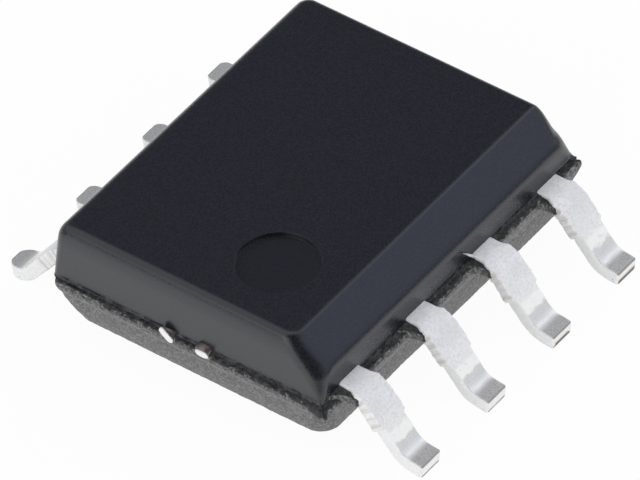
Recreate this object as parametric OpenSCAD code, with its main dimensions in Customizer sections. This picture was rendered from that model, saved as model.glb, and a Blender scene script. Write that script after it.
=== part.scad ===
// Eight-lead moulded chip: a resin block with gull-wing leads on its two long sides.
// X runs along the lead rows, Y across them, Z up from the board. Millimetres.
// Lead 1 is at -X -Y, leads 1 to 4 run along the -Y side, leads 5 to 8 come back along +Y.

/* [Block] */
// Length of the block along the lead rows, at the parting line
body_l = 4.9; // [4.7:0.02:5.2]
// Width of the block across the leads, at the parting line
body_w = 3.84; // [3.7:0.02:4]
// Height of the moulded block from its underside to its top face
body_h = 1.45; // [1.4:0.01:1.6]
// Air under the block when the toes stand on the board
standoff = 0.13; // [0.05:0.01:0.2]
// Taper of the upper half at each short end, down to the rim
end_draft = 0.09; // [0.02:0.01:0.2]
// Taper of the upper half at the long side without a bevel
back_draft = 0.08; // [0.02:0.01:0.1]
// Taper of the lower half at each short end
low_end_draft = 0.19; // [0.05:0.01:0.24]
// Taper of the lower half at each long side
low_side_draft = 0.14; // [0.05:0.01:0.2]
// Radius of the upright corners at the long side without a bevel
corner_r = 0.16; // [0.1:0.01:0.3]
// Radius of the upright corners at the bevel
front_r = 0.11; // [0.06:0.01:0.2]
// Radius of the upright corners of the lower half
low_corner_r = 0.26; // [0.1:0.01:0.3]
// Radius of the top edges
top_r = 0.09; // [0.04:0.01:0.12]
// Radius of the bottom edges
low_r = 0.06; // [0.02:0.01:0.1]

/* [Fit of the two halves] */
// How far the upper half stands back from the lower one at the bevel
step_front = 0.04; // [0:0.01:0.08]
// How far the upper half stands out over the lower one at the long side without a bevel
step_back = 0.08; // [0:0.01:0.1]
// How far the upper half sits away from the end with the dimple
step_end = 0.02; // [0:0.01:0.04]

/* [Bevel and dimple] */
// Distance of the bevel's upper edge from the upper half's long side
bevel_w = 0.46; // [0.35:0.01:0.6]
// Height of the bevel
bevel_h = 0.38; // [0.2:0.01:0.42]
// Distance of the bevel's lower edge from the same long side
bevel_foot = 0.04; // [0.02:0.01:0.2]
// Diameter of the index dimple
dimple_d = 1; // [0.6:0.05:1.1]
// Depth of the index dimple
dimple_depth = 0.06; // [0.03:0.01:0.1]
// Distance of the dimple's centre from the short end of lead 1
dimple_end = 1.02; // [0.9:0.01:1.2]
// Distance of the dimple's centre from the long side of leads 1 to 4
dimple_side = 1.38; // [1.2:0.01:1.6]

/* [Rim at the parting line] */
// How far the rim stands out at the short ends
rim_end = 0.05; // [0.02:0.01:0.1]
// How far the rim stands out at the long sides
rim_side = 0.05; // [0.01:0.01:0.06]
// Thickness of the rim
rim_t = 0.08; // [0.06:0.01:0.16]
// Radius of the rim's corners at the bevel
rim_r = 0.05; // [0.03:0.01:0.1]
// Width of the resin scrap left beside each lead, at its tip
scrap_w = 0.07; // [0.03:0.01:0.1]
// Length of the scrap along the block's side
scrap_foot = 0.24; // [0.12:0.01:0.3]
// How far the scrap stands out from the long side
scrap_out = 0.26; // [0.1:0.01:0.28]
// Height of the scrap
scrap_t = 0.15; // [0.08:0.01:0.17]

/* [Leads] */
// Number of leads on each long side, as far as the block is long enough for them
per_side = 4; // [2:1:4]
// Lead pitch
pitch = 1.27; // [1.2:0.01:1.3]
// Overall width across the toes
span = 6; // [5.9:0.02:6.2]
// Sheet thickness of the lead frame
lead_t = 0.18; // [0.15:0.01:0.2]
// Width of a lead
lead_w = 0.38; // [0.33:0.01:0.48]
// Height of a lead's upper face where it leaves the block
shoulder_h = 0.92; // [0.86:0.01:1]
// Straight length of the shoulder outside the block
shoulder_flat = 0.08; // [0.04:0.01:0.14]
// Slope of the leg below level, steeper where the span leaves too little room for the foot
leg_angle = 52; // [48:1:62]
// Slope of the foot below level
foot_angle = 8; // [0:1:8]
// Bend radius of the shoulder at mid thickness, as far as there is room for it
shoulder_r = 0.32; // [0.25:0.01:0.36]
// Bend radius of the heel at mid thickness, as far as there is room for it
heel_r = 0.3; // [0.2:0.01:0.34]
// Width of a lead over its sheared dam bar stubs
stub_w = 0.45; // [0.4:0.01:0.56]

/* [Lead frame inside] */
// Length of the die pad
pad_l = 3.1; // [2.6:0.05:3.3]
// Width of the die pad
pad_w = 2; // [1.7:0.05:2.1]
// How far the die pad is set down below the leads
pad_drop = 0.12; // [0.05:0.01:0.16]
// Width of a tie bar
tie_w = 0.2; // [0.15:0.01:0.26]
// Distance between the two tie bars of one end
tie_gap = 0.51; // [0.4:0.01:0.7]
// Shift of both tie bars off the middle
tie_shift = 0.05; // [0:0.01:0.1]
// Width of the bond paddle at a lead's inner end
paddle_w = 0.62; // [0.5:0.01:0.7]
// Shift of the outer leads' paddles towards the die
paddle_shift = 0.09; // [0:0.01:0.1]
// Gap between the paddles and the die pad
paddle_gap = 0.2; // [0.14:0.01:0.25]
// Length of a finger's neck between the paddle and the block's side
neck_len = 0.25; // [0.15:0.01:0.35]
// Level stretch of a tie bar beside the pad
tie_flat = 0.1; // [0.05:0.01:0.2]
// How far the cut end of a tie bar stands out of the rim
tie_proud = 0.01; // [0.005:0.005:0.03]

/* [Die and wires] */
// Length of the die
die_l = 1.3; // [1:0.05:1.6]
// Width of the die
die_w = 1; // [0.8:0.05:1.2]
// Thickness of the die
die_t = 0.25; // [0.2:0.01:0.28]
// Thickness of the die attach layer
attach_t = 0.025; // [0.015:0.005:0.04]
// How far the die attach layer shows around the die
attach_rim = 0.06; // [0.02:0.01:0.1]
// Diameter of a bond wire
wire_d = 0.025; // [0.02:0.001:0.033]
// Height of a wire loop above the die
loop_h = 0.13; // [0.12:0.01:0.16]
// Distance of the bond pads from the die's edge
bond_edge = 0.09; // [0.06:0.01:0.12]
// Distance between the bond pads along the die
bond_pitch = 0.33; // [0.2:0.01:0.36]
// Distance of the stitches from the paddle's tip
stitch_in = 0.18; // [0.1:0.01:0.22]

/* [Hidden] */
$fn = 48;
// The outer leads stay clear of the block's rounded corners
row = min(per_side, floor((body_l - 2 * corner_r - lead_w) / pitch) + 1);
leads = 2 * row;
function names(stem) = [for (i = [1:leads]) str(stem, i)];

top_z = standoff + body_h;
lead_top = shoulder_h;
lead_low = shoulder_h - lead_t;
rim_top = lead_low + rim_t;
// Depth to which the two halves reach into the rim, so that the three merge
merge = rim_t / 3;
pad_top = lead_top - pad_drop;
die_z = pad_top + attach_t;
die_top = die_z + die_t;
// Overlap of two shapes that become one solid
weld = 0.1;
// A lead's formed strip starts this far from the middle plane
root_in = body_w / 2 - weld;
paddle_tip = pad_w / 2 + paddle_gap;
paddle_root = body_w / 2 - neck_len;
tie_end = body_l / 2 + rim_end + tie_proud;
die_color = [0.45, 0.47, 0.52];
resin = [0.17, 0.18, 0.2];
tin = [0.82, 0.82, 0.84];
copper = [0.72, 0.45, 0.3];

// Side of a lead's row and its place along the row
function side(i) = i <= row ? -1 : 1;
function pin_x(i) = ((i <= row ? i : leads + 1 - i) - (row + 1) / 2) * pitch;
function is_outer(i) = i == 1 || i == row || i == row + 1 || i == leads;
// Shift of a lead's paddle along X, towards the middle on the outer leads
function shift_x(i) = is_outer(i) ? -sign(pin_x(i)) * paddle_shift : 0;

// Outline with every corner rounded to its own radius
function unit(v) = v / norm(v);
function turn(a) = a > 180 ? a - 360 : a < -180 ? a + 360 : a;
function corner_arc(p, c, q, r, n) =
  let (u = unit(p - c), v = unit(q - c), half = acos(u * v) / 2)
  let (o = c + unit(u + v) * r / sin(half))
  let (s = c + u * r / tan(half) - o, e = c + v * r / tan(half) - o)
  let (a = atan2(s.y, s.x), d = turn(atan2(e.y, e.x) - a))
  [for (k = [0:n]) o + r * [cos(a + d * k / n), sin(a + d * k / n)]];
function rounded(pts, radii, n = 6) =
  let (m = len(pts))
  [for (i = [0:m - 1]) each radii[i] == 0 ? [pts[i]] :
    corner_arc(pts[(i + m - 1) % m], pts[i], pts[(i + 1) % m], radii[i], n)];
function box_outline(l, w) = [[l / 2, w / 2], [-l / 2, w / 2], [-l / 2, -w / 2], [l / 2, -w / 2]];

// Solid from an outline in Y and Z, and from one in X and Z
module along_x(pts, l) rotate([90, 0, 90]) linear_extrude(l, center = true) polygon(pts);
module along_y(pts, w) rotate([90, 0, 0]) linear_extrude(w, center = true) polygon(pts);
// Upright plate with its own corner radius at the back and at the front
module plate(l, w, back, front, z0, z1) translate([0, 0, z0]) linear_extrude(z1 - z0)
  polygon(rounded(box_outline(l, w), [back, back, front, front]));

// Upper half of the block, with the bevel along leads 1 to 4
module upper_half() {
  hl = body_l / 2;
  hw = (body_w - step_front + step_back) / 2;
  z0 = rim_top - merge;
  across = [[-hw, z0], [-hw + bevel_foot, top_z - bevel_h], [-hw + bevel_w, top_z],
    [hw - back_draft, top_z], [hw, z0]];
  lengthwise = [[-hl, z0], [-hl + end_draft, top_z], [hl - end_draft, top_z], [hl, z0]];
  translate([step_end, (step_front + step_back) / 2, 0]) intersection() {
    along_x(rounded(across, [0, top_r, top_r, top_r, 0]), 2 * body_l);
    along_y(rounded(lengthwise, [0, top_r, top_r, 0]), 2 * body_w);
    plate(2 * hl, 2 * hw, corner_r, front_r, z0, top_z + body_h);
  }
}

// Lower half of the block, tapered towards the board
module lower_half() {
  hl = body_l / 2;
  hw = body_w / 2;
  z1 = lead_low + merge;
  across = [[-hw, z1], [-hw + low_side_draft, standoff], [hw - low_side_draft, standoff], [hw, z1]];
  lengthwise = [[-hl, z1], [-hl + low_end_draft, standoff], [hl - low_end_draft, standoff], [hl, z1]];
  intersection() {
    along_x(rounded(across, [0, low_r, low_r, 0]), 2 * body_l);
    along_y(rounded(lengthwise, [0, low_r, low_r, 0]), 2 * body_w);
    plate(body_l, body_w, low_corner_r, low_corner_r, standoff - body_h, z1);
  }
}

// Resin scrap beside lead i: a web between the block and the lead, left where the dam bar was sheared off
module scrap(i) {
  edge = pin_x(i) - lead_w / 2;
  root = side(i) * (body_w / 2 - weld);
  tip = side(i) * (body_w / 2 + scrap_out);
  translate([edge, 0, lead_low]) linear_extrude(scrap_t)
    polygon([[0, root], [0, tip], [-scrap_w, tip], [-scrap_foot, root]]);
}

module mould_body() color(resin) difference() {
  union() {
    upper_half();
    lower_half();
    plate(body_l + 2 * rim_end, body_w + 2 * rim_side, corner_r, rim_r, lead_low, rim_top);
    for (i = [1:leads]) scrap(i);
  }
  translate([dimple_end - body_l / 2, dimple_side - body_w / 2, top_z - dimple_depth])
    cylinder(d = dimple_d, h = 2 * dimple_depth);
  for (i = [1:leads]) lead(i);
  die_pad();
  die_attach();
  silicon_die();
  for (i = [1:leads]) bond_wire(i);
}

// The middle of a lead: level shoulder, bend, straight leg, bend the other way, foot down to the toe
function ahead(a) = [cos(a), -sin(a)];
function above(a) = [sin(a), cos(a)];
bend_s = body_w / 2 + shoulder_flat;
bend_z = lead_top - lead_t / 2;
toe = [span / 2 - lead_t / 2 * sin(foot_angle), lead_t / 2 * cos(foot_angle)];
// The shortest foot, and the bends that fit between it and the block
short_foot = toe - lead_t / 3 * ahead(foot_angle);
room = 0.4 * (short_foot.x - bend_s);
bend_r = min(shoulder_r, room);
foot_r = min(heel_r, room);
bend_mid = [bend_s, bend_z - bend_r];
// Slope of the line that crosses between both bends and touches them, with the shortest foot
reach = short_foot + foot_r * above(foot_angle) - bend_mid;
tight_angle = asin((bend_r + foot_r) / norm(reach)) - atan2(reach.y, reach.x);
slope = max(leg_angle, tight_angle);
leg_start = bend_mid + bend_r * above(slope);
to_toe = toe - leg_start - foot_r * (above(slope) - above(foot_angle));
leg_len = cross(to_toe, ahead(foot_angle)) / sin(slope - foot_angle);
heel_mid = leg_start + leg_len * ahead(slope) + foot_r * above(slope);
// Stations along that line: distance from the middle plane, height, slope
bend_steps = 10;
shoulder_bend = [for (k = [0:bend_steps]) let (a = slope * k / bend_steps)
  let (p = bend_mid + bend_r * above(a)) [p.x, p.y, a]];
heel_bend = [for (k = [0:bend_steps]) let (a = slope + (foot_angle - slope) * k / bend_steps)
  let (p = heel_mid - foot_r * above(a)) [p.x, p.y, a]];
lead_line = concat([[root_in, bend_z, 0]], shoulder_bend, heel_bend, [[toe.x, toe.y, foot_angle]]);
// The dam bar stub runs from part way round the shoulder to part way down the leg
stub_from = 4;
stub_leg = 0.45;
stub_end = leg_start + stub_leg * leg_len * ahead(slope);
stub_line = concat([for (k = [stub_from:bend_steps]) shoulder_bend[k]], [[stub_end.x, stub_end.y, slope]]);
function face(line, t) = [for (p = line) [p.x + t * sin(p.z), p.y + t * cos(p.z)]];
function strip(line) = let (low = face(line, -lead_t / 2))
  concat(face(line, lead_t / 2), [for (k = [len(low) - 1:-1:0]) low[k]]);

// Lead i: gull wing, dam bar stub and the finger with its bond paddle inside the block
module lead(i) color(tin) translate([pin_x(i), 0, 0]) rotate(side(i) < 0 ? 180 : 0) {
  mid = side(i) * shift_x(i);
  neck = lead_w / 2;
  half = paddle_w / 2;
  along_x(strip(lead_line), lead_w);
  along_x(strip(stub_line), stub_w);
  translate([0, 0, lead_low]) linear_extrude(lead_t)
    polygon([[-neck, root_in + weld / 2], [-neck, paddle_root], [mid - half, paddle_root], [mid - half, paddle_tip],
      [mid + half, paddle_tip], [mid + half, paddle_root], [neck, paddle_root], [neck, root_in + weld / 2]]);
}

// Die pad with two tie bars at each end, set down below the leads
module die_pad() color(copper) {
  ramp = pad_l / 2 + tie_flat;
  level = ramp + 2 * pad_drop;
  inner = pad_l / 2 - 2 * weld;
  translate([-pad_l / 2, -pad_w / 2, pad_top - lead_t]) cube([pad_l, pad_w, lead_t]);
  for (turned = [0, 180], s = [-1, 1]) rotate(turned)
    translate([0, s * tie_gap / 2 + (turned == 0 ? tie_shift : -tie_shift), 0])
      along_y([[inner, pad_top], [ramp, pad_top], [level, lead_top], [tie_end, lead_top], [tie_end, lead_low],
        [level, lead_low], [ramp, pad_top - lead_t], [inner, pad_top - lead_t]], tie_w);
}

module die_attach() color("gainsboro") translate([0, 0, pad_top + attach_t / 2])
  cube([die_l + 2 * attach_rim, die_w + 2 * attach_rim, attach_t], center = true);

module silicon_die() color(die_color) translate([0, 0, die_z + die_t / 2])
  cube([die_l, die_w, die_t], center = true);

// Round rod between two points of the XZ plane
module rod(p, q) translate([p.x, 0, p.y]) rotate([0, atan2(q.x - p.x, q.y - p.y), 0])
  cylinder(d = wire_d, h = norm(q - p));

// Wire of lead i: ball on the die, rising neck, loop, long run and stitch on the paddle
module bond_wire(i) color("gold") {
  ball_d = 3.2 * wire_d;
  ball_h = 0.8 * wire_d;
  joint = 1.06;
  from = [pin_x(i) / pitch * bond_pitch, side(i) * (die_w / 2 - bond_edge)];
  to = [pin_x(i) + shift_x(i), side(i) * (paddle_tip + stitch_in)];
  run = norm(to - from);
  step = loop_h / 2.6;
  neck = [0, loop_h - step * (sin(56) + sin(22))];
  knee = neck + step * [cos(56), sin(56)];
  crest = knee + step * [cos(22), sin(22)];
  stitch = [run, lead_top - die_top + joint * wire_d * 0.54];
  translate([from.x, from.y, die_top]) rotate(atan2(to.y - from.y, to.x - from.x)) {
    cylinder(d = ball_d, h = ball_h);
    rod([0, ball_h / 2], neck);
    rod(neck, knee);
    rod(knee, crest);
    rod(crest, stitch);
    for (p = [neck, knee, crest, stitch]) translate([p.x, 0, p.y]) sphere(d = joint * wire_d);
    translate([run, 0, lead_top - die_top]) cylinder(d = ball_d, h = wire_d / 2);
  }
}

mould_body();
for (i = [1:leads]) lead(i);
die_pad();
die_attach();
silicon_die();
for (i = [1:leads]) bond_wire(i);
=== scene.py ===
"""Eight-lead moulded chip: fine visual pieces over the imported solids, floor, light and camera.

Everything is built in millimetres in the frame's own axes (X along the lead rows, Y across, Z up
from the board) and turned into metres when a mesh is made.
"""
import math

import bmesh
import bpy
from mathutils import Matrix, Vector, noise


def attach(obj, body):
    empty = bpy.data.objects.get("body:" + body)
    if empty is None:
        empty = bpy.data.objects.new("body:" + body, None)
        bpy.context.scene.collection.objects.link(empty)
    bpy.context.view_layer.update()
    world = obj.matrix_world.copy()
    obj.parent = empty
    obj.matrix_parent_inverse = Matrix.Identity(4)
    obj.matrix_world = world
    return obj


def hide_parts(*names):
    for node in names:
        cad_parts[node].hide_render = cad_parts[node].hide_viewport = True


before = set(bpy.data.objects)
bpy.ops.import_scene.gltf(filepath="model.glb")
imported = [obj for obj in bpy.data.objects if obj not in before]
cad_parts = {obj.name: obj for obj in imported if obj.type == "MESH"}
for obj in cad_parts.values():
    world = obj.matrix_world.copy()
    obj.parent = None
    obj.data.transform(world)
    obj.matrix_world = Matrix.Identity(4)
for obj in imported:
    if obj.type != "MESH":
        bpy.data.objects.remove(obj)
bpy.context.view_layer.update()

MM = 0.001

# Block: main sizes as in the solids, with radii that change with height
BODY_L, BODY_W, BODY_H, STANDOFF = 4.90, 3.84, 1.45, 0.13
TOP_Z = STANDOFF + BODY_H
LOW_END_DRAFT, LOW_SIDE_DRAFT = 0.18, 0.14
STEP_FRONT, STEP_BACK, STEP_END = 0.04, 0.08, 0.02
BEVEL_W, BEVEL_H, BEVEL_FOOT = 0.46, 0.38, 0.04
TOP_R, BACK_TOP_R, LOW_R, KNEE_R = 0.09, 0.18, 0.03, 0.22
FRONT_LOW_R, FRONT_KNEE_R, FRONT_TOP_R = 0.02, 0.30, 0.18
BACK_TOP_CORNER_R, BACK_CORNER_R = 0.15, 0.07
RIM_FRONT_R, RIM_BACK_R, LOW_NEAR_R, LOW_FAR_R, LOW_BACK_R = 0.05, 0.12, 0.26, 0.12, 0.05
LOW_BACK_FOOT_R, LOW_BOW, FLARE_SHARE = 0.16, 1.4, 0.25
KNEE_RISE, FAR_TOP_LESS = 0.05, 0.12
DIMPLE_D, DIMPLE_DEPTH, DIMPLE_X, DIMPLE_Y = 1.0, 0.06, -1.43, -0.54
RIM_END, RIM_SIDE, RIM_T = 0.05, 0.05, 0.08
SCRAP_W, SCRAP_OUT, SCRAP_FOOT = 0.06, 0.26, 0.24
# Wedge of painted shade under the rim's near front corner, in the torn compound's dark colour
SHADE_WEDGE_DROP, SHADE_WEDGE_Y, SHADE_WEDGE_HALF, SHADE_WEDGE_MAX_X, SHADE_WEDGE_MIN_Y = 0.11, -1.84, 0.21, -2.40, -1.955

# Leads, as in the solids
PER_SIDE, PITCH, SPAN = 4, 1.27, 6.0
LEAD_T, LEAD_W, STUB_W = 0.18, 0.38, 0.45
SHOULDER_H, SHOULDER_FLAT = 0.92, 0.08
LEG_ANGLE, FOOT_ANGLE = math.radians(52), math.radians(8)
SHOULDER_R, HEEL_R = 0.32, 0.30
PADDLE_W, PADDLE_SHIFT, PADDLE_TIP, PADDLE_ROOT = 0.62, 0.09, 1.20, 1.67
LEAD_LOW = SHOULDER_H - LEAD_T
RIM_TOP = LEAD_LOW + RIM_T
# V of the toe's cut face and of the painted contact shadow at its lower edge, past the strip's own length, for the
# plating's bands
CUT_FACE_V, CONTACT_SHADE_V = 1.52, 1.75

# Die pad and tie bars, as in the solids
PAD_L, PAD_W, PAD_DROP = 3.1, 2.0, 0.12
TIE_W, TIE_GAP, TIE_SHIFT, TIE_FLAT, TIE_PROUD = 0.20, 0.51, 0.05, 0.10, 0.01
TIE_END = BODY_L / 2 + RIM_END + TIE_PROUD
# How far a bar's end is bent down, then its tin smear: tilt, half length, half height, height of its middle
SLANT_END = (0.085, -0.68, 0.110, 0.054, 0.825)
LEVEL_END = (0.045, 0.0, 0.090, 0.046, 0.805)


# ---------------------------------------------------------------- small helpers

def rough(seed, *at):
    """Smooth noise from -1 to 1 at a place, in a pattern of its own for each seed."""
    x, y, z = (list(at) + [0, 0])[:3]
    return noise.noise(Vector((x + 17.3 * seed, y - 9.1 * seed, z + 4.7 * seed)))


def lerp(a, b, t):
    return a + (b - a) * t


def smooth(t):
    t = min(1.0, max(0.0, t))
    return t * t * (3 - 2 * t)


def mesh_piece(name, bm, materials):
    """Object from a bmesh in millimetres, on the part's one body."""
    bmesh.ops.recalc_face_normals(bm, faces=bm.faces)
    for v in bm.verts:
        v.co *= MM
    mesh = bpy.data.meshes.new(name)
    bm.to_mesh(mesh)
    bm.free()
    mesh.shade_smooth()
    for material in materials:
        mesh.materials.append(material)
    obj = bpy.data.objects.new(name, mesh)
    bpy.context.scene.collection.objects.link(obj)
    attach(obj, "root")
    return obj


def weighted_normals(obj):
    mod = obj.modifiers.new("even_shading", "WEIGHTED_NORMAL")
    mod.weight = 80
    mod.keep_sharp = True


def skin(bm, rings, kinds=None):
    """Quads between rings of vertices, with a material number for each ring's upper side."""
    for k, (low, high) in enumerate(zip(rings, rings[1:])):
        n = len(low)
        for i in range(n):
            j = (i + 1) % n
            face = bm.faces.new((low[i], low[j], high[j], high[i]))
            face.material_index = kinds[k] if kinds else 0


# ---------------------------------------------------------------- materials

class Shader:
    """A Principled material and short ways to add nodes to it."""

    def __init__(self, name):
        self.material = bpy.data.materials.new(name)
        self.material.use_nodes = True
        self.tree = self.material.node_tree
        self.bsdf = self.tree.nodes["Principled BSDF"]
        coords = self.tree.nodes.new("ShaderNodeTexCoord")
        mapping = self.tree.nodes.new("ShaderNodeMapping")
        mapping.inputs["Scale"].default_value = (1 / MM,) * 3
        self.tree.links.new(coords.outputs["Object"], mapping.inputs["Vector"])
        self.place = mapping.outputs["Vector"]
        self.uv = coords.outputs["UV"]

    def set(self, **values):
        for key, value in values.items():
            self.bsdf.inputs[key.replace("_", " ")].default_value = value

    def link(self, output, key):
        self.tree.links.new(output, self.bsdf.inputs[key])

    def node(self, kind, settings=None, **inputs):
        made = self.tree.nodes.new("ShaderNode" + kind)
        for key, value in (settings or {}).items():
            setattr(made, key, value)
        for key, value in inputs.items():
            socket = made.inputs[int(key[1:])] if key[0] == "_" else made.inputs[key.replace("_", " ")]
            if isinstance(value, bpy.types.NodeSocket):
                self.tree.links.new(value, socket)
            else:
                socket.default_value = value
        return made

    def noise(self, scale, detail=3.0, roughness=0.6, vector=None):
        made = self.node("TexNoise", Vector=vector or self.place, Scale=scale, Detail=detail, Roughness=roughness)
        return made.outputs["Fac"]

    def ramp(self, value, stops):
        made = self.node("ValToRGB", _0=value)
        points = made.color_ramp.elements
        while len(points) < len(stops):
            points.new(0.5)
        for point, (at, colour) in zip(points, stops):
            point.position, point.color = at, (*colour, 1)
        return made.outputs["Color"]

    def between(self, value, low, high, to_low=0.0, to_high=1.0):
        """Soft step of a value: to_low at low, to_high at high."""
        made = self.node("MapRange", {"interpolation_type": "SMOOTHSTEP"}, Value=value)
        for key, number in zip(("From Min", "From Max", "To Min", "To Max"), (low, high, to_low, to_high)):
            made.inputs[key].default_value = number
        return made.outputs["Result"]

    def math(self, operation, a, b):
        return self.node("Math", {"operation": operation}, _0=a, _1=b).outputs[0]

    def mix(self, factor, a, b):
        return self.node("Mix", {"data_type": "RGBA"}, _0=factor, _6=a, _7=b).outputs[2]

    def blend(self, factor, a, b):
        return self.node("Mix", {"data_type": "FLOAT"}, _0=factor, _2=a, _3=b).outputs[0]

    def bump(self, height, distance, strength):
        return self.node("Bump", Height=height, Distance=distance * MM, Strength=strength).outputs["Normal"]

    def axes(self, vector=None):
        made = self.node("SeparateXYZ", _0=vector or self.place)
        return made.outputs


def satin_resin():
    """Moulding compound of the upper half: fine, even, bluish black, a little smoother in the dimple."""
    s = Shader("moulding_compound")
    s.set(Specular_IOR_Level=0.88)
    x, y = s.axes()[:2]
    from_dimple = s.node("VectorMath", {"operation": "DISTANCE"}, _0=s.node("CombineXYZ", _0=x, _1=y).outputs[0],
                         _1=(DIMPLE_X, DIMPLE_Y, 0)).outputs["Value"]
    dimple = s.between(from_dimple, DIMPLE_D / 2 + 0.01, DIMPLE_D / 2 - 0.02)
    grain = s.noise(42.0, 3.0, 0.6)
    colour = s.ramp(grain, [(0.25, (0.0045, 0.0056, 0.0090)), (0.50, (0.0080, 0.0098, 0.0150)),
                            (0.75, (0.0125, 0.0150, 0.0220))])
    colour = s.mix(s.math("MULTIPLY", dimple, 0.6), colour, (0.0070, 0.0084, 0.0122, 1))
    s.link(colour, "Base Color")
    face_rough, dimple_rough = s.between(grain, 0.3, 0.7, 0.24, 0.34), s.between(grain, 0.3, 0.7, 0.22, 0.28)
    s.link(s.blend(dimple, face_rough, dimple_rough), "Roughness")
    s.link(s.bump(grain, 0.003, 0.25), "Normal")
    return s.material


def gritty_resin():
    """Moulding compound of the lower half: a worn mould, so its filler shows as pale grit."""
    s = Shader("gritty_compound")
    s.set(Specular_IOR_Level=0.80)
    grit = s.noise(16.0, 4.0, 0.85)
    fleck = s.noise(34.0, 2.0)
    colour = s.ramp(grit, [(0.38, (0.002, 0.002, 0.002)), (0.50, (0.070, 0.070, 0.069)),
                           (0.62, (0.225, 0.225, 0.221))])
    colour = s.mix(s.between(fleck, 0.58, 0.68), colour, (0.30, 0.30, 0.29, 1))
    colour = s.mix(s.between(fleck, 0.42, 0.32), colour, (0.002, 0.002, 0.002, 1))
    s.link(colour, "Base Color")
    s.link(s.between(grit, 0.35, 0.65, 0.34, 0.56), "Roughness")
    s.link(s.bump(grit, 0.015, 1.0), "Normal")
    return s.material


def torn_resin():
    """Broken compound where the mould's flash came off: dark and dull with a few pale crumbs."""
    s = Shader("torn_compound")
    s.set(Specular_IOR_Level=0.30)
    crumb = s.noise(15.0, 4.0, 0.8)
    colour = s.ramp(crumb, [(0.36, (0.012, 0.012, 0.012)), (0.52, (0.042, 0.042, 0.044)),
                            (0.68, (0.095, 0.096, 0.099))])
    s.link(colour, "Base Color")
    s.link(s.between(crumb, 0.3, 0.7, 0.5, 0.8), "Roughness")
    s.link(s.bump(crumb, 0.016, 1.0), "Normal")
    return s.material


def tin():
    """Matt tin plating: fine grain, a scraped band over the burnished heel and foot, sheared sides painted whiter
    for the light on them, a leg painted lighter than the shoulder, painted shade towards the toe and a painted
    contact shadow at the toe's lower edge.

    The mesh carries the place across the strip in U and the length from the block in V, in millimetres; V goes on
    over the toe's cut face and to a last value on the painted contact shadow at its lower edge.
    """
    s = Shader("matt_tin_plating")
    across, along = s.axes(s.uv)[:2]
    grain = s.noise(30.0, 4.0, 0.8)
    patch = s.noise(4.0, 3.0)
    speck = s.noise(8.0, 2.0)
    ragged = s.math("ADD", along, s.math("MULTIPLY", s.noise(6.0, 4.0, 0.7), 0.20))
    heel = s.between(ragged, 0.965, 1.000)
    scraped = s.math("MULTIPLY", s.between(ragged, 0.80, 0.85), s.between(ragged, 1.00, 0.97))
    scraped = s.math("MULTIPLY", scraped, s.between(s.noise(9.0, 3.0), 0.36, 0.48))
    sheared = s.between(s.math("ABSOLUTE", across, 0.0), 0.172, 0.186)
    toe = s.between(along, 1.10, 1.26)
    colour = s.mix(s.between(patch, 0.35, 0.65), (0.80, 0.812, 0.85, 1), (0.87, 0.882, 0.92, 1))
    colour = s.mix(s.between(grain, 0.58, 0.34), colour, (0.68, 0.685, 0.70, 1))
    # Painted light: the leg is painted lighter and more neutral than the shoulder, for the light that falls on it
    leg = s.mix(s.between(grain, 0.35, 0.65), (0.79, 0.79, 0.79, 1), (0.95, 0.95, 0.945, 1))
    colour = s.mix(s.between(along, 0.30, 0.80), colour, leg)
    colour = s.mix(scraped, colour, (0.98, 0.975, 0.965, 1))
    burnished = s.mix(s.between(grain, 0.30, 0.70), (0.93, 0.91, 0.88, 1), (0.97, 0.95, 0.92, 1))
    # Painted shade: the foot darkens towards the toe
    toe_shade = s.mix(s.between(grain, 0.30, 0.70), (0.58, 0.575, 0.57, 1), (0.76, 0.755, 0.75, 1))
    colour = s.mix(heel, colour, s.mix(toe, burnished, toe_shade))
    stub = s.math("MULTIPLY", s.between(along, 0.12, 0.22), s.between(along, 0.66, 0.60))
    drawn = s.node("Mapping", Vector=s.uv)
    drawn.inputs["Scale"].default_value = (3, 30, 1)
    streak = s.noise(1.0, 3.0, 0.6, drawn.outputs["Vector"])
    lines = s.math("MULTIPLY", stub, s.between(streak, 0.50, 0.36))
    # Painted light: the sheared sides are painted whiter than the top for the light from the left; their streaks
    # are real shear marks
    side = s.mix(s.between(grain, 0.35, 0.65), (0.88, 0.88, 0.88, 1), (0.98, 0.98, 0.975, 1))
    side = s.mix(s.math("MULTIPLY", lines, 0.6), side, (0.62, 0.57, 0.50, 1))
    colour = s.mix(sheared, colour, side)
    colour = s.mix(s.between(speck, 0.745, 0.765), colour, (0.22, 0.20, 0.18, 1))
    edge = s.math("MULTIPLY", s.between(along, 1.345, 1.360), s.between(along, 1.44, 1.40))
    flat = s.math("SUBTRACT", 1.0, sheared)
    edge = s.math("MULTIPLY", edge, flat)
    colour = s.mix(edge, colour, (0.44, 0.40, 0.37, 1))
    colour = s.mix(s.between(along, 1.42, 1.48), colour, (0.97, 0.965, 0.955, 1))
    # Painted contact shadow: a dark line along the toe's lower edge where it stands on the floor
    colour = s.mix(s.between(along, 1.62, 1.70), colour, (0.20, 0.18, 0.16, 1))
    s.link(colour, "Base Color")
    polish = s.math("MULTIPLY", s.math("MULTIPLY", heel, s.between(along, 1.40, 1.38)), flat)
    matt_metal, bright_metal = s.between(grain, 0.3, 0.7, 0.10, 0.20), s.between(grain, 0.3, 0.7, 0.46, 0.54)
    s.link(s.blend(polish, matt_metal, bright_metal), "Metallic")
    matt_rough, bright_rough = s.between(grain, 0.25, 0.75, 0.50, 0.70), s.between(grain, 0.25, 0.75, 0.26, 0.30)
    s.link(s.blend(polish, matt_rough, bright_rough), "Roughness")
    height = s.math("MULTIPLY", s.math("SUBTRACT", grain, 0.5), s.math("SUBTRACT", 1.0, polish))
    s.link(s.bump(height, 0.006, 0.6), "Normal")
    return s.material


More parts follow.
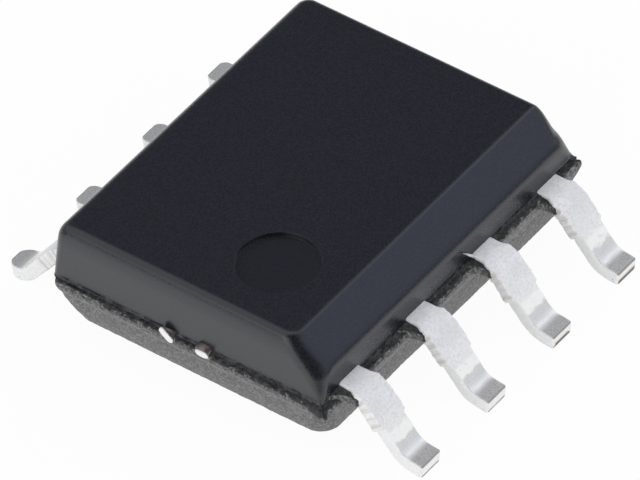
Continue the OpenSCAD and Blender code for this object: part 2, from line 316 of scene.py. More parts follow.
def bare_frame():
    """Copper alloy of the lead frame, tarnished where the tie bars stand out of the block."""
    s = Shader("frame_copper")
    s.set(Metallic=1.0)
    x = s.axes()[0]
    far = s.between(s.math("ABSOLUTE", x, 0.0), BODY_L / 2 - 0.09, BODY_L / 2 - 0.01)
    cut = s.noise(18.0, 3.0)
    copper = s.mix(cut, (0.45, 0.28, 0.18, 1), (0.62, 0.40, 0.28, 1))
    tarnish = s.mix(cut, (0.16, 0.13, 0.11, 1), (0.42, 0.36, 0.33, 1))
    s.link(s.mix(far, copper, tarnish), "Base Color")
    s.link(s.between(cut, 0.3, 0.7, 0.40, 0.58), "Roughness")
    s.link(s.bump(cut, 0.006, 0.6), "Normal")
    return s.material


def bright_tin():
    """Tin smeared over the tie bars' cut ends."""
    s = Shader("smeared_tin")
    s.set(Metallic=1.0)
    cut = s.noise(24.0, 3.0)
    s.link(s.mix(cut, (0.90, 0.895, 0.885, 1), (0.985, 0.98, 0.97, 1)), "Base Color")
    s.link(s.between(cut, 0.3, 0.7, 0.42, 0.58), "Roughness")
    s.link(s.bump(cut, 0.004, 0.5), "Normal")
    return s.material


def inside(name, dark, light, metallic, low, high, scale):
    """Material of a piece that the block hides: two mixed tones, a fine grain and its gloss."""
    s = Shader(name)
    s.set(Metallic=metallic)
    grain = s.noise(scale, 3.0)
    s.link(s.mix(grain, (*dark, 1), (*light, 1)), "Base Color")
    s.link(s.between(grain, 0.3, 0.7, low, high), "Roughness")
    s.link(s.bump(grain, 0.002, 0.4), "Normal")
    return s.material


# ---------------------------------------------------------------- block

ARC_POINTS, END_POINTS, SIDE_POINTS = 14, 190, 220
SATIN, GRITTY, TORN, RAGGED, CRUMBLED = 0, 1, 2, 3, 4


def outline(near, far, front, back, radii):
    """Rounded rectangle seen from above, from the +X +Y corner round by -X, always with as many points.

    The four radii come in that order. Gives (x, y, outward x, outward y) for each point.
    """
    ends = [(far, back), (near, back), (near, front), (far, front)]
    corners = [(x, y, r, 90 * k) for k, ((x, y), r) in enumerate(zip(ends, radii))]
    arcs = []
    for x, y, r, start in corners:
        mid = (x - math.copysign(r, x), y - math.copysign(r, y))
        arc = []
        for k in range(ARC_POINTS + 1):
            a = math.radians(start + 90 * k / ARC_POINTS)
            arc.append((mid[0] + r * math.cos(a), mid[1] + r * math.sin(a), math.cos(a), math.sin(a)))
        arcs.append(arc)
    points = []
    for k, arc in enumerate(arcs):
        points += arc
        nxt = arcs[(k + 1) % 4][0]
        last, count = arc[-1], SIDE_POINTS if k % 2 == 0 else END_POINTS
        for i in range(1, count):
            t = i / count
            points.append((lerp(last[0], nxt[0], t), lerp(last[1], nxt[1], t), last[2], last[3]))
    return points


def rounded_profile(points, radii, steps=12):
    """Polyline of (inset, height) with arcs at its inner corners."""
    line = [points[0]]
    for before, corner, after, r in zip(points, points[1:], points[2:], radii):
        c = Vector(corner)
        u, v = (Vector(before) - c).normalized(), (Vector(after) - c).normalized()
        half = u.angle(v) / 2
        mid = c + (u + v).normalized() * r / math.sin(half)
        start, end = c + u * r / math.tan(half) - mid, c + v * r / math.tan(half) - mid
        turn = start.angle(end)
        for k in range(steps + 1):
            t = k / steps
            p = mid + (start * math.sin((1 - t) * turn) + end * math.sin(t * turn)) / math.sin(turn)
            line.append((p.x, p.y))
    return line + [points[-1]]


def swept_profile(start, foot_end, bends, steps=12):
    """Rising polyline of (inset, height): a straight foot, then arcs that lean it over to each angle."""
    line = [start, foot_end]
    lean = math.atan2(foot_end[0] - start[0], foot_end[1] - start[1])
    for r, degrees in bends:
        (x, z), to = line[-1], math.radians(degrees)
        for k in range(1, steps + 1):
            a = lerp(lean, to, k / steps)
            line.append((x + r * (math.cos(lean) - math.cos(a)), z + r * (math.sin(a) - math.sin(lean))))
        lean = to
    return line


def inset_at(profile, z):
    """Inset of a rising profile at a height."""
    for (a, za), (b, zb) in zip(profile, profile[1:]):
        if za <= z <= zb and zb > za:
            return lerp(a, b, (z - za) / (zb - za))
    return profile[-1][0]


def block_rings():
    """Outlines from the underside to the top face: (height, outline, unevenness, material above it)."""
    hl, hw = BODY_L / 2, BODY_W / 2
    rings = []

    # Lower half: small bottom edge, then the taper, which flares out to the rim
    steps = 6
    low = [(STANDOFF + LOW_R * (1 - math.cos(math.radians(90 * k / steps))),
            LOW_R * (1 - math.sin(math.radians(90 * k / steps)))) for k in range(steps + 1)]
    low += [(lerp(STANDOFF + LOW_R, LEAD_LOW, k / 24), 0) for k in range(1, 25)]
    for z, extra in low:
        t = (LEAD_LOW - z) / (LEAD_LOW - STANDOFF)
        flare = smooth(1 - t / FLARE_SHARE)
        end = hl - LOW_END_DRAFT * t ** LOW_BOW - extra + RIM_END * flare
        across = hw - LOW_SIDE_DRAFT * t ** LOW_BOW - extra + RIM_SIDE * flare
        near_r, far_r = lerp(LOW_NEAR_R, RIM_FRONT_R, flare ** 3), lerp(LOW_FAR_R, RIM_FRONT_R, flare)
        back_r = lerp(lerp(LOW_BACK_R, RIM_BACK_R, flare), LOW_BACK_FOOT_R, smooth((t - 0.3) / 0.7))
        rings.append((z, outline(-end, end, -across, across, (LOW_FAR_R, back_r, near_r, far_r)), 0.0045, GRITTY))

    # Rim at the parting line, with a torn ledge on top of it
    end, across = hl + RIM_END, hw + RIM_SIDE
    rim = [(LEAD_LOW + 0.020, 0.0, 0.005, GRITTY), (LEAD_LOW + 0.040, 0.002, 0.006, RAGGED),
           (RIM_TOP - 0.018, 0.006, 0.008, RAGGED), (RIM_TOP - 0.006, 0.018, 0.010, TORN),
           (RIM_TOP, 0.034, 0.012, TORN), (RIM_TOP + 0.001, 0.050, 0.014, TORN)]
    for z, back_by, uneven, kind in rim:
        rings.append((z, outline(back_by - end, end - back_by, back_by - across, across - 0.5 * back_by,
                                 (RIM_BACK_R, RIM_BACK_R, RIM_FRONT_R, RIM_FRONT_R)), uneven, kind))

    # Upper half: slightly bowed ends, the bevel's soft knee, rounded top edges
    near, far = STEP_END - hl, STEP_END + hl
    front, back = STEP_FRONT - hw, STEP_BACK + hw
    end_line = swept_profile((0, RIM_TOP), (0.0355, TOP_Z - 0.271), [(0.7, 15), (0.4, 27), (0.115, 90)])
    back_line = swept_profile((0, RIM_TOP), (0.03, TOP_Z - BACK_TOP_R * 0.95), [(BACK_TOP_R, 90)])
    front_line = rounded_profile([(0, RIM_TOP), (BEVEL_FOOT, TOP_Z - BEVEL_H), (BEVEL_W, TOP_Z), (hw, TOP_Z)],
                                 [KNEE_R, TOP_R])
    heights = [RIM_TOP + d for d in (0.002, 0.006, 0.012, 0.022, 0.035)]
    heights += [lerp(RIM_TOP + 0.05, TOP_Z - 0.20, k / 24) for k in range(24)]
    heights += [TOP_Z - 0.20 + 0.20 * math.sin(math.radians(90 * k / 24)) for k in range(25)]
    for z in heights:
        e, f, b = (inset_at(p, min(z, TOP_Z - 1e-6)) for p in (end_line, front_line, back_line))
        # Torn fillet where the walls rise from the ledge
        d = z - RIM_TOP
        fillet = 0.018 * (1 - d / 0.025) ** 2 if d < 0.025 else 0.0
        rise = d / (TOP_Z - RIM_TOP)
        shrink = max(0.0, e - 0.09) * 0.8
        knee = (TOP_Z - BEVEL_H + KNEE_RISE - RIM_TOP) / (TOP_Z - RIM_TOP)
        front_r = (lerp(FRONT_LOW_R, FRONT_KNEE_R, rise / knee) if rise < knee else
                   lerp(FRONT_KNEE_R, FRONT_TOP_R, (rise - knee) / (1 - knee)))
        front_r = max(0.02, front_r - shrink)
        back_r = max(0.02, lerp(BACK_CORNER_R, BACK_TOP_CORNER_R, rise) - shrink)
        far_r = max(0.02, front_r - FAR_TOP_LESS * smooth((rise - knee) / (1 - knee)))
        rings.append((z, outline(near + e - fillet, far - e + fillet, front + f - fillet, back - b,
                                 (back_r, back_r, front_r, far_r)),
                      0.012 * (1 - smooth(d / 0.045)), TORN if d < 0.01 else CRUMBLED if d < 0.07 else SATIN))
    # The top face starts flat inside its rounded edge
    xs, ys = [p[0] for p in rings[-1][1]], [p[1] for p in rings[-1][1]]
    flat = 0.04
    inner = outline(min(xs) + flat, max(xs) - flat, min(ys) + flat, max(ys) - flat, (0.03,) * 4)
    rings.append((TOP_Z, inner, 0.0, SATIN))
    return rings


def ledge_shift(x, nx, ny, z):
    """(outward, upward) shift of the rim: it climbs along the front, and its near corner hangs out as a point."""
    if z < LEAD_LOW:
        share = smooth((z - LEAD_LOW + 0.14) / 0.14)
    else:
        share = 1 - smooth((z - RIM_TOP) / 0.16)
    front = smooth(-ny)
    corner = 4 * (nx * ny) ** 2 if nx < 0 and ny < 0 else 0.0
    on_rim = share if z < RIM_TOP + 0.0015 else 0.0
    return 0.05 * corner * on_rim, share * (front * (0.03 + 0.018 * x) - 0.02 * corner)


def dimple_rings(bm):
    """Round recess: rolled edge, steep wall, small fillet, floor."""
    r = DIMPLE_D / 2
    roll, fillet = 0.002, 0.002
    profile = [(r + roll + 0.04, 0)]
    profile += [(r + roll - roll * math.sin(math.radians(a)), roll * math.cos(math.radians(a)) - roll)
                for a in (0, 22.5, 45, 67.5, 90)]
    profile += [(r - 0.004 - fillet + fillet * math.cos(math.radians(a)),
                 -DIMPLE_DEPTH + fillet - fillet * math.sin(math.radians(a))) for a in (0, 22.5, 45, 67.5, 90)]
    profile += [(0.72 * r, -DIMPLE_DEPTH), (0.36 * r, -DIMPLE_DEPTH)]
    count = 128
    return [[bm.verts.new((DIMPLE_X + q * math.cos(math.tau * k / count),
                           DIMPLE_Y + q * math.sin(math.tau * k / count), TOP_Z + h)) for k in range(count)]
            for q, h in profile]


def pin_x(i):
    place = i if i <= PER_SIDE else 2 * PER_SIDE + 1 - i
    return (place - (PER_SIDE + 1) / 2) * PITCH


def side(i):
    return -1 if i <= PER_SIDE else 1


def add_scrap(bm, i):
    """Web of resin in the corner between the block and the -X side of a lead, torn off at its tip."""
    root, out = BODY_W / 2 - 0.06, SCRAP_OUT * (1 + 0.10 * rough(i, 1.5))
    foot = SCRAP_FOOT * (1 + 0.2 * rough(i, 7.5)) + 0.06
    edge = pin_x(i) - LEAD_W / 2
    z0, z1 = LEAD_LOW - 0.01, SHOULDER_H - 0.035
    # Seen from above: hollow outer face from the foot on the block, then a round tip up to the lead
    line = []
    for k in range(19):
        t = k / 18
        hollow = math.sin(math.radians(90 * t)) ** 0.8
        line.append((edge - lerp(foot, SCRAP_W, hollow), lerp(root, BODY_W / 2 + out - 0.05, t ** 1.7)))
    for k in range(1, 9):
        a = math.radians(180 - 90 * k / 8)
        line.append((edge + 0.01 + (SCRAP_W + 0.01) * math.cos(a), BODY_W / 2 + out - 0.05 + 0.05 * math.sin(a)))
    # Seen from the side: rounded lower and upper edges
    heights = [(0.030, 0.0), (0.010, 0.05), (0.0, 0.18), (0.0, 0.35), (0.0, 0.55), (0.004, 0.75),
               (0.014, 0.88), (0.034, 0.97), (0.055, 1.0)]
    rings = []
    for k, (x, y) in enumerate(line):
        ahead, behind = line[min(k + 1, len(line) - 1)], line[max(k - 1, 0)]
        along = Vector((ahead[0] - behind[0], ahead[1] - behind[1])).normalized()
        inward = Vector((along.y, -along.x))
        ring = []
        for tuck, w in heights:
            px, py = x + inward.x * tuck, y + inward.y * tuck
            pz = lerp(z0, z1 - 0.03 * (y - root) / out, w)
            jag = [0.009 * rough(i + 20 * q, px * 11, py * 11, pz * 11)
                   + 0.006 * rough(i + 90 * q, px * 28, py * 28, pz * 28) for q in (1, 2, 3)]
            ring.append(bm.verts.new((px + jag[0], side(i) * (py + jag[1]), pz + 0.7 * jag[2])))
        rings.append(ring)
    for k, (low, high) in enumerate(zip(rings, rings[1:])):
        for m in range(len(heights) - 1):
            face = bm.faces.new((low[m], high[m], high[m + 1], low[m + 1]))
            face.material_index = TORN if k > 18 or m > 5 else GRITTY
    # Close it inside the block and the lead
    for m, kind in ((0, GRITTY), (len(heights) - 1, TORN)):
        hub = bm.verts.new((edge + 0.03, side(i) * (root + 0.02), rings[0][m].co.z))
        for low, high in zip(rings, rings[1:]):
            bm.faces.new((low[m], high[m], hub)).material_index = kind


def make_block(materials):
    bm = bmesh.new()
    for i in range(1, 2 * PER_SIDE + 1):
        add_scrap(bm, i)
    rings, kinds = [], []
    for z, points, uneven, kind in block_rings():
        ring = []
        for x, y, nx, ny in points:
            push, lift = ledge_shift(x, nx, ny, z)
            if uneven:
                push += uneven * (rough(1, x * 7, y * 7, z * 5) + rough(2, x * 19, y * 19, z * 17))
            if uneven > 0.009:
                lift += uneven * (rough(3, x * 9, y * 9) + rough(4, x * 22, y * 22))
            ring.append(bm.verts.new((x + push * nx, y + push * ny, z + lift)))
        rings.append(ring)
        kinds.append(kind)
    skin(bm, rings, kinds)
    for face in bm.faces:
        # Ragged upper and lower borders of the torn ledge, and painted shade under the rim's near front corner
        x, y, z = face.calc_center_median()
        chance = rough(5, x * 9, y * 9, z * 9) + 0.6 * rough(6, x * 25, y * 25, z * 25)
        # Painted shade: faces of the lower half under the rim's near front corner take the torn compound's dark
        # colour
        in_shade_wedge = x < SHADE_WEDGE_MAX_X and y > SHADE_WEDGE_MIN_Y
        shade_wedge = SHADE_WEDGE_DROP * smooth(1 - abs(y - SHADE_WEDGE_Y) / SHADE_WEDGE_HALF) if in_shade_wedge else 0.0
        if shade_wedge and LEAD_LOW - 0.06 < z < RIM_TOP and z > RIM_TOP - 0.02 - shade_wedge + 0.02 * chance:
            face.material_index = TORN
        elif face.material_index == RAGGED:
            face.material_index = TORN if chance > 0.0 else GRITTY
        elif face.material_index == CRUMBLED:
            face.material_index = TORN if chance > (z - RIM_TOP) / 0.07 - 0.35 else SATIN
    bm.faces.new(rings[0]).material_index = GRITTY
    dimple = dimple_rings(bm)
    skin(bm, dimple)
    bm.faces.new(dimple[-1])
    edges = [bm.edges.get((ring[k], ring[(k + 1) % len(ring)])) for ring in (rings[-1], dimple[0])
             for k in range(len(ring))]
    bmesh.ops.triangle_fill(bm, use_beauty=True, use_dissolve=False, edges=edges)
    obj = mesh_piece("block", bm, materials)
    weighted_normals(obj)
    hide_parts("mould_body")
    return obj


# ---------------------------------------------------------------- die pad

def make_pad(materials):
    """Die pad with its four tie bars, which are cut off just outside the block's short ends."""
    bm = bmesh.new()
    top, low = SHOULDER_H - PAD_DROP, SHOULDER_H - PAD_DROP - LEAD_T

    def prism(points, ends):
        """Upright outline in X and Z, drawn out along Y."""
        sides = [[bm.verts.new((x, y, z)) for x, z in points] for y in ends]
        bm.faces.new(sides[0])
        bm.faces.new(sides[1])
        skin(bm, sides)

    hx, hy = PAD_L / 2, PAD_W / 2
    prism([(-hx, low), (hx, low), (hx, top), (-hx, top)], (-hy, hy))
    ramp = hx + TIE_FLAT
    level = ramp + 2 * PAD_DROP
    end = TIE_END - 0.012
    for turn in (1, -1):
        for s in (-1, 1):
            # The shears bent the bars down and drew tin over their ends, aslant on one bar and level on the others
            drop, *smear = SLANT_END if turn < 0 and s < 0 else LEVEL_END
            bent = SHOULDER_H - drop
            bar = [(hx - 0.05, low), (ramp, low), (level, LEAD_LOW), (end, LEAD_LOW), (end, bent),
                   (end - 0.05, bent + 0.01), (end - 0.12, SHOULDER_H), (level, SHOULDER_H), (ramp, top),
                   (hx - 0.05, top)]
            mid = turn * (s * TIE_GAP / 2) + TIE_SHIFT
            prism([(turn * x, z) for x, z in bar], (mid - TIE_W / 2 + 0.01, mid + TIE_W / 2 - 0.01))
            smear_end(bm, turn, mid, *smear)
    obj = mesh_piece("pad_and_ties", bm, materials)
    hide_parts("die_pad")
    return obj


def smear_end(bm, turn, y0, tilt, half_l, half_h, z0):
    """Flat lump of tin on a tie bar's cut end."""
    rings = []
    for out, size in ((-0.02, 1.0), (-0.004, 1.0), (0.004, 0.97), (0.009, 0.86), (0.012, 0.60)):
        ring = []
        for k in range(28):
            a = math.tau * k / 28
            # Outline between a round and a bar
            c, d = math.cos(a), math.sin(a)
            u = half_l * size * math.copysign(abs(c) ** 0.55, c)
            w = half_h * size * math.copysign(abs(d) ** 0.65, d)
            u += 0.010 * rough(8, c * 2, d * 2, y0 * 9)
            w += 0.006 * rough(9, c * 2, d * 2, y0 * 9)
            ring.append(bm.verts.new((turn * (TIE_END - 0.012 + out),
                                      y0 + turn * (u * math.cos(tilt) - w * math.sin(tilt)),
                                      z0 + u * math.sin(tilt) + w * math.cos(tilt))))
        rings.append(ring)
    skin(bm, rings, [1] * len(rings))
    bm.faces.new(rings[0]).material_index = 1
    bm.faces.new(rings[-1]).material_index = 1


# ---------------------------------------------------------------- leads

def lead_path():
    """Middle line of a formed lead outside its finger: (distance from the middle plane, height, slope)."""
    s0, z0 = BODY_W / 2 + SHOULDER_FLAT, SHOULDER_H - LEAD_T / 2
    start = Vector((s0 + SHOULDER_R * math.sin(LEG_ANGLE), z0 - SHOULDER_R * (1 - math.cos(LEG_ANGLE))))
    toe = Vector((SPAN / 2 - LEAD_T / 2 * math.sin(FOOT_ANGLE), LEAD_T / 2 * math.cos(FOOT_ANGLE)))
    turn = HEEL_R * Vector((math.sin(LEG_ANGLE) - math.sin(FOOT_ANGLE), math.cos(LEG_ANGLE) - math.cos(FOOT_ANGLE)))
    left = toe - start - turn
    leg = -(math.sin(FOOT_ANGLE) * left.x + math.cos(FOOT_ANGLE) * left.y) / math.sin(LEG_ANGLE - FOOT_ANGLE)
    leg_end = start + leg * Vector((math.cos(LEG_ANGLE), -math.sin(LEG_ANGLE)))
    heel = leg_end + HEEL_R * Vector((math.sin(LEG_ANGLE), math.cos(LEG_ANGLE)))
    path = [(lerp(BODY_W / 2 - 0.1, s0, k / 8), z0, 0.0) for k in range(8)]
    for k in range(25):
        a = LEG_ANGLE * k / 24
        path.append((s0 + SHOULDER_R * math.sin(a), z0 - SHOULDER_R * (1 - math.cos(a)), a))
    for k in range(1, 36):
        p = start.lerp(leg_end, k / 36)
        path.append((p.x, p.y, LEG_ANGLE))
    for k in range(25):
        a = lerp(LEG_ANGLE, FOOT_ANGLE, k / 24)
        path.append((heel.x - HEEL_R * math.sin(a), heel.y - HEEL_R * math.cos(a), a))
    foot = Vector(path[-1][:2])
    for k in range(1, 13):
        p = foot.lerp(toe, k / 12)
        path.append((p.x, p.y, FOOT_ANGLE))
    return path, start.x + 0.45 * (leg_end.x - start.x)


def section(width, shift, thick, edge):
    """Rounded strip section: (across, through) points round from the upper face's +across edge."""
    quarters = [(1, 1, 90), (1, -1, 0), (-1, -1, -90), (-1, 1, -180)]
    arcs = []
    for sx, sz, start in quarters:
        mid = (shift + sx * (width / 2 - edge), sz * (thick / 2 - edge))
        turns = [math.radians(start - 90 * k / 4) for k in range(5)]
        arcs.append([(mid[0] + edge * math.cos(a), mid[1] + edge * math.sin(a)) for a in turns])
    points = []
    for k, arc in enumerate(arcs):
        points += arc
        last, nxt = arc[-1], arcs[(k + 1) % 4][0]
        count = 5 if k % 2 == 0 else 10
        points += [(lerp(last[0], nxt[0], i / count), lerp(last[1], nxt[1], i / count)) for i in range(1, count)]
    return points


def lead_stations(i):
    """(distance from the middle plane, height, slope, width, shift, length from the block) along lead i."""
    path, stub_end = lead_path()
    z0 = SHOULDER_H - LEAD_T / 2
    outer = i in (1, PER_SIDE, PER_SIDE + 1, 2 * PER_SIDE)
    shift = math.copysign(PADDLE_SHIFT, -pin_x(i)) if outer else 0.0
    # Finger with its bond paddle, hidden in the block
    stations = [(PADDLE_TIP, PADDLE_W, shift), (PADDLE_ROOT, PADDLE_W, shift), (PADDLE_ROOT + 0.004, LEAD_W, 0.0)]
    stations = [(s, z0, 0.0, w, x, s - BODY_W / 2) for s, w, x in stations]
    stub_start = BODY_W / 2 + SHOULDER_FLAT + SHOULDER_R * math.sin(0.4 * LEG_ANGLE)
    length = path[0][0] - BODY_W / 2
    for k, (s, z, a) in enumerate(path):
        if k:
            length += math.hypot(s - path[k - 1][0], z - path[k - 1][1])
        stub = smooth((s - stub_start + 0.10) / 0.10) * (1 - smooth((s - stub_end) / 0.012))
        stations.append((s, z, a, lerp(LEAD_W - 0.01, STUB_W, stub), 0.0, length))
    return stations


def toe_half(i, half, left):
    """Half width of a lead at a distance from its toe: the far row's toes are worn round, the last one fully."""
    r = 0.02 if side(i) < 0 else 0.17 if i == 2 * PER_SIDE else 0.11
    return half if left >= r else half - r + math.sqrt(max(0.0, r * r - (r - left) ** 2))


def make_lead(i, material):
    bm = bmesh.new()
    marks = bm.loops.layers.uv.new("strip")
    stations = lead_stations(i)
    toe = stations[-1][5]
    edge, roll = 0.024, 0.03
    rings, places = [], {}
    for s, z, a, width, shift, length in stations:
        outside = s > BODY_W / 2
        torn = smooth((width - LEAD_W) / (STUB_W - LEAD_W)) if outside else 0.0
        left = toe - length
        fit = toe_half(i, width / 2, left) / (width / 2)
        ring = []
        for u, t in section(width, shift, LEAD_T, edge):
            across, through = u, t
            if outside:
                if abs(u) > width / 2 - edge:
                    way = math.copysign(1, u)
                    cut = rough(i + 9, 3 * way, s * 22, t * 4) + 0.7 * rough(i + 60, 3 * way, s * 50, t * 9)
                    across += way * (torn * 0.011 * cut + 0.005 * rough(i + 30, u * 3, s * 12, t * 8))
                through += 0.003 * rough(i, u * 8, s * 8, t * 8)
            if left < roll:
                # The shears round the upper edge of the toe
                pull = 1 - math.sqrt(1 - (1 - left / roll) ** 2)
                through -= 0.6 * roll * pull if t > 0 else -0.1 * roll * pull
            v = bm.verts.new((pin_x(i) + shift * (1 - fit) + across * fit, side(i) * (s + through * math.sin(a)),
                              z + through * math.cos(a)))
            # Vertices at the toe's lower edge carry the painted contact shadow
            contact_shade = left < 0.012 and t < -LEAD_T / 2 + edge
            places[v] = (u * LEAD_W / width, CONTACT_SHADE_V if contact_shade else length)
            ring.append(v)
        rings.append(ring)
    skin(bm, rings)
    bm.faces.new(rings[0])
    cap = bm.faces.new(rings[-1])
    if i == 3:
        # A burr of metal left at its root
        root = Vector((pin_x(i) - LEAD_W / 2 + 0.02, side(i) * (BODY_W / 2 - 0.03), SHOULDER_H - 0.02))
        tip = bm.verts.new(root + Vector((-0.20, 0.005, 0.20)))
        foot = [bm.verts.new(root + Vector(d)) for d in ((0, -0.03, 0.02), (0, 0.04, 0.02), (-0.01, -0.03, -0.03))]
        for k in range(3):
            bm.faces.new((foot[k], foot[(k + 1) % 3], tip))
        bm.faces.new(foot)
        for v in foot + [tip]:
            places[v] = (0.0, 0.3)
    for face in bm.faces:
        for loop in face.loops:
            u, v = places[loop.vert]
            loop[marks].uv = (0.0, max(v, CUT_FACE_V)) if face == cap else (u, v)
    obj = mesh_piece("formed_lead_%d" % i, bm, [material])
    weighted_normals(obj)
    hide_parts("lead_%d" % i)
    return obj


# ---------------------------------------------------------------- surroundings

def make_floor():
    """Pale round floor. The camera and gloss see it near white, with the object's shadow left on it."""
    bm = bmesh.new()
    bmesh.ops.create_circle(bm, cap_ends=True, radius=30 * MM, segments=96)
    mesh = bpy.data.meshes.new("floor")
    bm.to_mesh(mesh)
    bm.free()
    mat = bpy.data.materials.new("pale_floor")
    mat.use_nodes = True
    mat.cycles.emission_sampling = "NONE"
    tree = mat.node_tree
    bsdf = tree.nodes["Principled BSDF"]
    bsdf.inputs["Base Color"].default_value = (0.88, 0.88, 0.88, 1)
    bsdf.inputs["Roughness"].default_value = 0.9
    bsdf.inputs["Specular IOR Level"].default_value = 0.1
    glow = tree.nodes.new("ShaderNodeEmission")
    glow.inputs["Color"].default_value = (1, 1, 1, 1)
    share = tree.nodes.new("ShaderNodeMath")
    share.operation = "MULTIPLY"
    share.inputs[1].default_value = 0.95
    blend = tree.nodes.new("ShaderNodeMixShader")
    tree.links.new(seen_rays(tree), share.inputs[0])
    tree.links.new(share.outputs[0], blend.inputs[0])
    tree.links.new(bsdf.outputs[0], blend.inputs[1])
    tree.links.new(glow.outputs[0], blend.inputs[2])
    tree.links.new(blend.outputs[0], tree.nodes["Material Output"].inputs["Surface"])
    mesh.materials.append(mat)
    obj = bpy.data.objects.new("floor", mesh)
    bpy.context.scene.collection.objects.link(obj)


def seen_rays(tree):
    """1 for rays of the camera, of gloss and of transmission."""
    path = tree.nodes.new("ShaderNodeLightPath")
    first, both = tree.nodes.new("ShaderNodeMath"), tree.nodes.new("ShaderNodeMath")
    for node in (first, both):
        node.operation = "MAXIMUM"
    tree.links.new(path.outputs["Is Camera Ray"], first.inputs[0])
    tree.links.new(path.outputs["Is Glossy Ray"], first.inputs[1])
    tree.links.new(first.outputs[0], both.inputs[0])
    tree.links.new(path.outputs["Is Transmission Ray"], both.inputs[1])
    return both.outputs[0]


# Ways from the object to parts of the tent
TENT_FRONT = Vector((0.10, -0.95, 0.30)).normalized()
DARK_WALL = Vector((0.59, 0.57, 0.57)).normalized()
TENT_SLIT = Vector((-0.72, -0.50, 0.48)).normalized()
BLUE_PANEL = Vector((0.54, -0.68, 0.50)).normalized()
ROOF_FLAP = Vector((0.56, 0.10, 0.82)).normalized()
WINDOW = Vector((0.56, -0.36, 0.745)).normalized()


def make_world():
    """Pale tent: white to the camera, even as a light, a little brighter in front.

    Gloss sees its wall behind the object, its slit in front and the gap along the floor, which are dim and
    give the block's top, its front corner and its edges their dark tones.
    """
    world = bpy.data.worlds.new("studio")
    bpy.context.scene.world = world
    world.use_nodes = True
    world.cycles.sampling_method = "NONE"
    tree = world.node_tree
    tree.nodes.clear()
    new, link = tree.nodes.new, tree.links.new
    out = new("ShaderNodeOutputWorld")
    white = new("ShaderNodeBackground")
    white.inputs["Color"].default_value = (1, 1, 1, 1)
    tent = new("ShaderNodeBackground")
    coords = new("ShaderNodeTexCoord")

    def ramp(value, stops):
        made = new("ShaderNodeValToRGB")
        made.color_ramp.interpolation = "EASE"
        points = made.color_ramp.elements
        while len(points) < len(stops):
            points.new(0.5)
        for point, (at, colour) in zip(points, stops):
            point.position, point.color = at, (*colour, 1)
        link(value, made.inputs[0])
        return made.outputs[0]

    def towards(way):
        made = new("ShaderNodeVectorMath")
        made.operation = "DOT_PRODUCT"
        made.inputs[1].default_value = way
        link(coords.outputs["Generated"], made.inputs[0])
        return made.outputs["Value"]

    def times(a, b):
        made = new("ShaderNodeMix")
        made.data_type, made.blend_type = "RGBA", "MULTIPLY"
        made.inputs[0].default_value = 1
        link(a, made.inputs[6])
        link(b, made.inputs[7])
        return made.outputs[2]

    height = ramp(towards(Vector((0, 0, 1))), [(0.0, (0.13, 0.13, 0.13)), (0.10, (0.26, 0.26, 0.26)),
                                               (0.30, (0.62, 0.62, 0.64)), (0.60, (0.66, 0.70, 0.79)),
                                               (0.95, (0.70, 0.71, 0.73))])
    wall = ramp(towards(DARK_WALL), [(0.77, (1, 1, 1)), (0.97, (0.20, 0.212, 0.235))])
    slit = ramp(towards(TENT_SLIT), [(0.62, (1, 1, 1)), (0.88, (0.03, 0.03, 0.03))])
    panel = ramp(towards(BLUE_PANEL), [(0.64, (1, 1, 1)), (0.90, (0.66, 0.71, 0.84))])
    flap = ramp(towards(ROOF_FLAP), [(0.90, (1, 1, 1)), (0.98, (0.50, 0.50, 0.51))])
    window = ramp(towards(WINDOW), [(0.95, (1, 1, 1)), (0.985, (1.45, 1.42, 1.35))])
    link(times(times(times(height, wall), times(slit, panel)), times(flap, window)), tent.inputs["Color"])
    even = new("ShaderNodeBackground")
    link(ramp(towards(TENT_FRONT), [(0.0, (0.78, 0.79, 0.81)), (1.0, (1.0, 1.0, 1.0))]), even.inputs["Color"])
    path = new("ShaderNodeLightPath")
    light, seen = new("ShaderNodeMixShader"), new("ShaderNodeMixShader")
    link(path.outputs["Is Diffuse Ray"], light.inputs[0])
    link(tent.outputs[0], light.inputs[1])
    link(even.outputs[0], light.inputs[2])
    link(path.outputs["Is Camera Ray"], seen.inputs[0])
    link(light.outputs[0], seen.inputs[1])
    link(white.outputs[0], seen.inputs[2])
    link(seen.outputs[0], out.inputs["Surface"])


def softbox(name, azimuth, elevation, distance, size, watts):
    """Square lamp turned to the object."""
    a, e = math.radians(azimuth), math.radians(elevation)
    back = Vector((math.sin(a) * math.cos(e), -math.cos(a) * math.cos(e), math.sin(e)))
    lamp = bpy.data.lights.new(name, "AREA")
    lamp.shape = "SQUARE"
    lamp.size = size * MM
    lamp.energy = watts
    obj = bpy.data.objects.new(name, lamp)
    obj.location = back * distance * MM
    obj.rotation_mode = "QUATERNION"
    obj.rotation_quaternion = (-back).to_track_quat("-Z", "Y")
    bpy.context.scene.collection.objects.link(obj)


CAMERA_AZIMUTH, CAMERA_ELEVATION, CAMERA_ROLL = -50.682, 43.674, -3.681
CAMERA_DISTANCE, CAMERA_LENS = 150, 732
AIM_Z, AIM_RIGHT, AIM_UP = 0.778, 0.021, -0.194


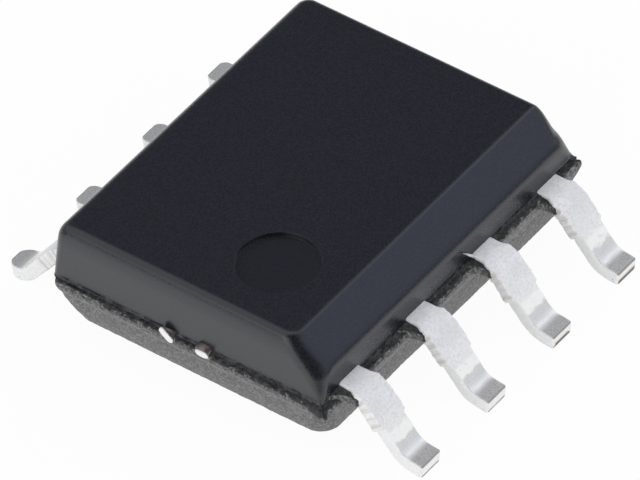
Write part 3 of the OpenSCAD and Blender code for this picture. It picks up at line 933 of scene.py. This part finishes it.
def make_camera():
    """Long lens at the photograph's angle."""
    a, e, roll = (math.radians(d) for d in (CAMERA_AZIMUTH, CAMERA_ELEVATION, CAMERA_ROLL))
    back = Vector((math.sin(a) * math.cos(e), -math.cos(a) * math.cos(e), math.sin(e)))
    level = Vector((math.cos(a), math.sin(a), 0))
    upright = back.cross(level)
    right = math.cos(roll) * level + math.sin(roll) * upright
    up = -math.sin(roll) * level + math.cos(roll) * upright
    aim = Vector((0, 0, AIM_Z)) + AIM_RIGHT * right + AIM_UP * up
    data = bpy.data.cameras.new("camera")
    data.sensor_fit = "HORIZONTAL"
    data.sensor_width = 36
    data.lens = CAMERA_LENS
    data.clip_start, data.clip_end = 0.01, 5
    cam = bpy.data.objects.new("camera", data)
    place = Matrix((right, up, back)).transposed().to_4x4()
    place.translation = (aim + CAMERA_DISTANCE * back) * MM
    cam.matrix_world = place
    bpy.context.scene.collection.objects.link(cam)
    bpy.context.scene.camera = cam


# ---------------------------------------------------------------- scene

make_camera()
make_block([satin_resin(), gritty_resin(), torn_resin()])
make_pad([bare_frame(), bright_tin()])
plating = tin()
for i in range(1, 2 * PER_SIDE + 1):
    make_lead(i, plating)

hidden = {
    "die_attach": inside("silver_epoxy", (0.55, 0.55, 0.54), (0.72, 0.72, 0.70), 0.6, 0.45, 0.6, 30.0),
    "silicon_die": inside("silicon", (0.10, 0.11, 0.14), (0.16, 0.17, 0.21), 0.3, 0.15, 0.3, 18.0),
}
gold = inside("gold_wire", (0.82, 0.60, 0.24), (0.95, 0.74, 0.36), 1.0, 0.2, 0.32, 60.0)
for i in range(1, 2 * PER_SIDE + 1):
    hidden["bond_wire_%d" % i] = gold
for name, material in hidden.items():
    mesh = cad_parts[name].data
    mesh.materials.clear()
    mesh.materials.append(material)

make_floor()
make_world()
softbox("left", azimuth=-95, elevation=15, distance=70, size=50, watts=0.008)
softbox("right", azimuth=80, elevation=30, distance=70, size=50, watts=0.003)
bpy.context.scene.view_settings.view_transform = "Standard"
